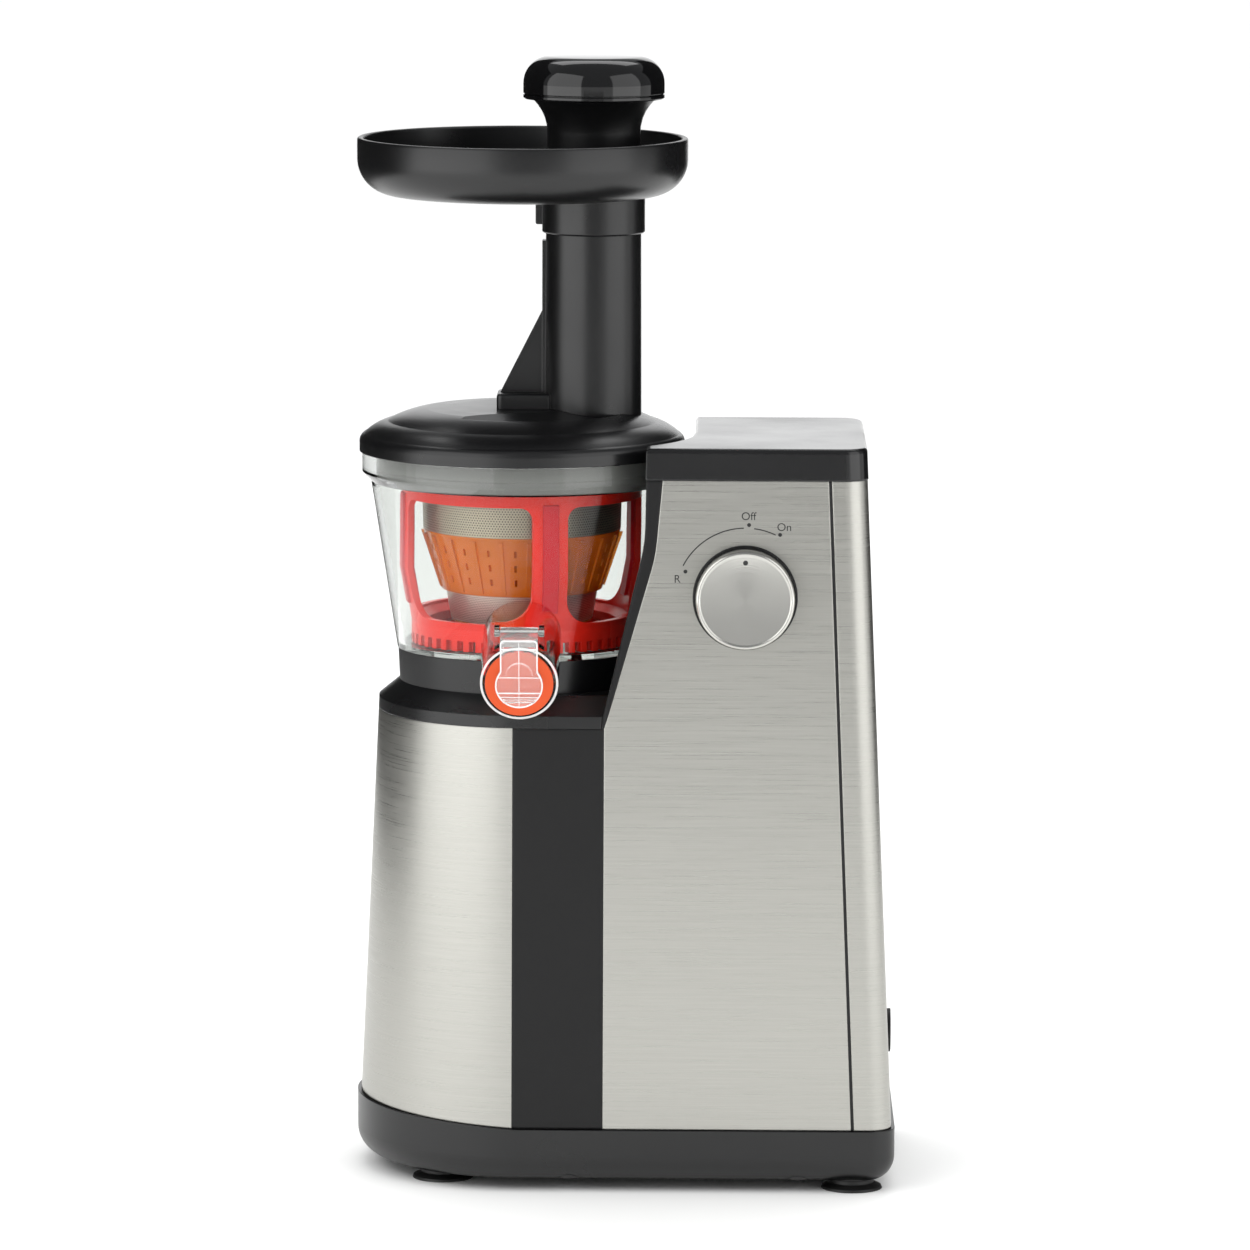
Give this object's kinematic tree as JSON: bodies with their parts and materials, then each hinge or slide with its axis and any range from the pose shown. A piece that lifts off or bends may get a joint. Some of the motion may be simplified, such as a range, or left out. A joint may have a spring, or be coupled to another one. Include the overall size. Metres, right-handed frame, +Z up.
{
  "type": "cold press juicer",
  "caption": "Upright cold press juicer: steel-clad tapered base, clear bowl with brush cage, strainer and auger, feed tray with pusher, and a turned dial.",
  "frame": {"origin": "middle of the footprint, on the surface that the suction feet stand on", "axes": "+X from the bowl towards the tower, -Y towards the side with the knob and the juice spout, +Z up along the auger's axis"},
  "size_m": [0.2092, 0.1994, 0.433],
  "materials": {
    "black_plastic": "satin moulded",
    "gloss_black_plastic": "gloss moulded",
    "brushed_steel": "horizontal brushing",
    "clear_plastic": "transparent, slightly smoky",
    "amber_plastic": "moulded",
    "red_plastic": "moulded",
    "red_silicone": "smooth",
    "orange_silicone": "smooth",
    "black_rubber": "smooth",
    "grey_seal": "smooth",
    "spun_aluminium": "spun face",
    "machined_steel": "ground",
    "mesh_steel": "perforated sheet",
    "white_acetal": "moulded",
    "enamelled_copper": "wound and varnished",
    "laminated_steel": "stacked sheets",
    "plated_steel": "zinc plated",
    "bronze": "sintered",
    "capacitor_white": "moulded",
    "grey_plastic": "moulded"
  },
  "bodies": {
    "housing": {"base_tray": "black_plastic", "suction_feet": "black_rubber", "left_steel_wrap": "brushed_steel", "front_steel_panel": "brushed_steel", "back_steel_panel": "brushed_steel", "corner_steel_strips": "brushed_steel", "end_panel": "black_plastic", "chassis_frame": "black_plastic", "tower_cap": "black_plastic", "shoulder_cover": "black_plastic", "bowl_seat_ring": "black_plastic", "dial_seat": "gloss_black_plastic", "rotary_switch": "grey_plastic", "cord_grommet": "black_rubber", "gearbox_plate": "grey_plastic", "gearbox_cover": "grey_plastic", "gearbox_screws": "plated_steel", "drive_bearings": "bronze", "shaft_seal": "grey_seal", "reduction_pin": "machined_steel", "motor_stator": "laminated_steel", "motor_windings": "enamelled_copper", "motor_studs": "plated_steel", "motor_bracket": "plated_steel", "motor_bearings": "bronze", "run_capacitor": "capacitor_white", "capacitor_clip": "plated_steel", "housing_screws": "plated_steel"},
    "motor_armature": {"motor_rotor": "laminated_steel", "motor_shaft": "machined_steel", "motor_pinion": "machined_steel", "cooling_fan": "grey_plastic"},
    "reduction_wheel": {"reduction_gear": "white_acetal"},
    "drive": {"drive_shaft": "machined_steel", "output_gear": "white_acetal"},
    "knob_assembly": {"knob": "spun_aluminium", "switch_spindle": "machined_steel"},
    "bowl": {"juicing_bowl": "clear_plastic", "pulp_duct": "clear_plastic", "juice_cap_pin": "machined_steel", "idler_pins": "machined_steel", "bowl_hub_seal": "grey_seal", "pulp_damper": "grey_seal", "strainer_frame": "amber_plastic", "strainer_mesh_lower": "mesh_steel", "strainer_mesh_upper": "mesh_steel"},
    "auger_assembly": {"auger": "amber_plastic", "auger_top_pin": "machined_steel"},
    "left_idler": {"idler_gear_left": "white_acetal"},
    "right_idler": {"idler_gear_right": "white_acetal"},
    "brush": {"brush_cage": "red_plastic", "wiper_blades": "red_silicone"},
    "drip_stop": {"juice_cap": "clear_plastic", "juice_cap_seal": "orange_silicone"},
    "lid_assembly": {"lid": "black_plastic", "feed_chute": "black_plastic", "lid_bush": "bronze"},
    "tray": {"feed_tray": "black_plastic"},
    "pusher": {"pusher_stem": "black_plastic", "pusher_cap": "gloss_black_plastic"}
  },
  "joints": [
    {"name": "motor_spin", "type": "hinge", "parent": "housing", "child": "motor_armature", "pos_m": [0.0343, 0, 0.1], "axis": [0, 0, 1], "continuous": true},
    {"name": "reduction_spin", "type": "hinge", "parent": "housing", "child": "reduction_wheel", "pos_m": [0.0043, 0, 0.15], "axis": [0, 0, 1], "continuous": true},
    {"name": "drive_spin", "type": "hinge", "parent": "housing", "child": "drive", "pos_m": [-0.0407, 0, 0.168], "axis": [0, 0, 1], "continuous": true},
    {"name": "knob_turn", "type": "hinge", "parent": "housing", "child": "knob_assembly", "pos_m": [0.0458, -0.05696, 0.2304], "axis": [0, -0.9996, 0.0274], "range_deg": [-27, 71]},
    {"name": "bowl_lift", "type": "slide", "parent": "housing", "child": "bowl", "axis": [0, 0, 1], "range_m": [0, 0.04]},
    {"name": "auger_spin", "type": "hinge", "parent": "bowl", "child": "auger_assembly", "pos_m": [-0.0407, 0, 0.24], "axis": [0, 0, 1], "continuous": true},
    {"name": "left_idler_spin", "type": "hinge", "parent": "bowl", "child": "left_idler", "pos_m": [-0.0677, 0, 0.208], "axis": [0, 0, 1], "continuous": true},
    {"name": "right_idler_spin", "type": "hinge", "parent": "bowl", "child": "right_idler", "pos_m": [-0.0137, 0, 0.208], "axis": [0, 0, 1], "continuous": true},
    {"name": "brush_spin", "type": "hinge", "parent": "bowl", "child": "brush", "pos_m": [-0.0407, 0, 0.24], "axis": [0, 0, 1], "continuous": true},
    {"name": "drip_stop_hinge", "type": "hinge", "parent": "bowl", "child": "drip_stop", "pos_m": [-0.0392, -0.0898, 0.22106], "axis": [-1, 0, 0], "range_deg": [0, 100]},
    {"name": "lid_lift", "type": "slide", "parent": "bowl", "child": "lid_assembly", "axis": [0, 0, 1], "range_m": [0, 0.03]},
    {"name": "tray_lift", "type": "slide", "parent": "lid_assembly", "child": "tray", "axis": [0, 0, 1], "range_m": [0, 0.02]},
    {"name": "pusher_slide", "type": "slide", "parent": "tray", "child": "pusher", "axis": [0, 0, 1], "range_m": [0, 0.1]}
  ],
  "couplings": [
    {"joint": "reduction_spin", "follows": "motor_spin", "ratio": -0.25},
    {"joint": "drive_spin", "follows": "motor_spin", "ratio": 0.0625},
    {"joint": "auger_spin", "follows": "motor_spin", "ratio": 0.0625},
    {"joint": "left_idler_spin", "follows": "motor_spin", "ratio": -0.078125},
    {"joint": "right_idler_spin", "follows": "motor_spin", "ratio": -0.078125},
    {"joint": "brush_spin", "follows": "motor_spin", "ratio": -0.024038}
  ]
}
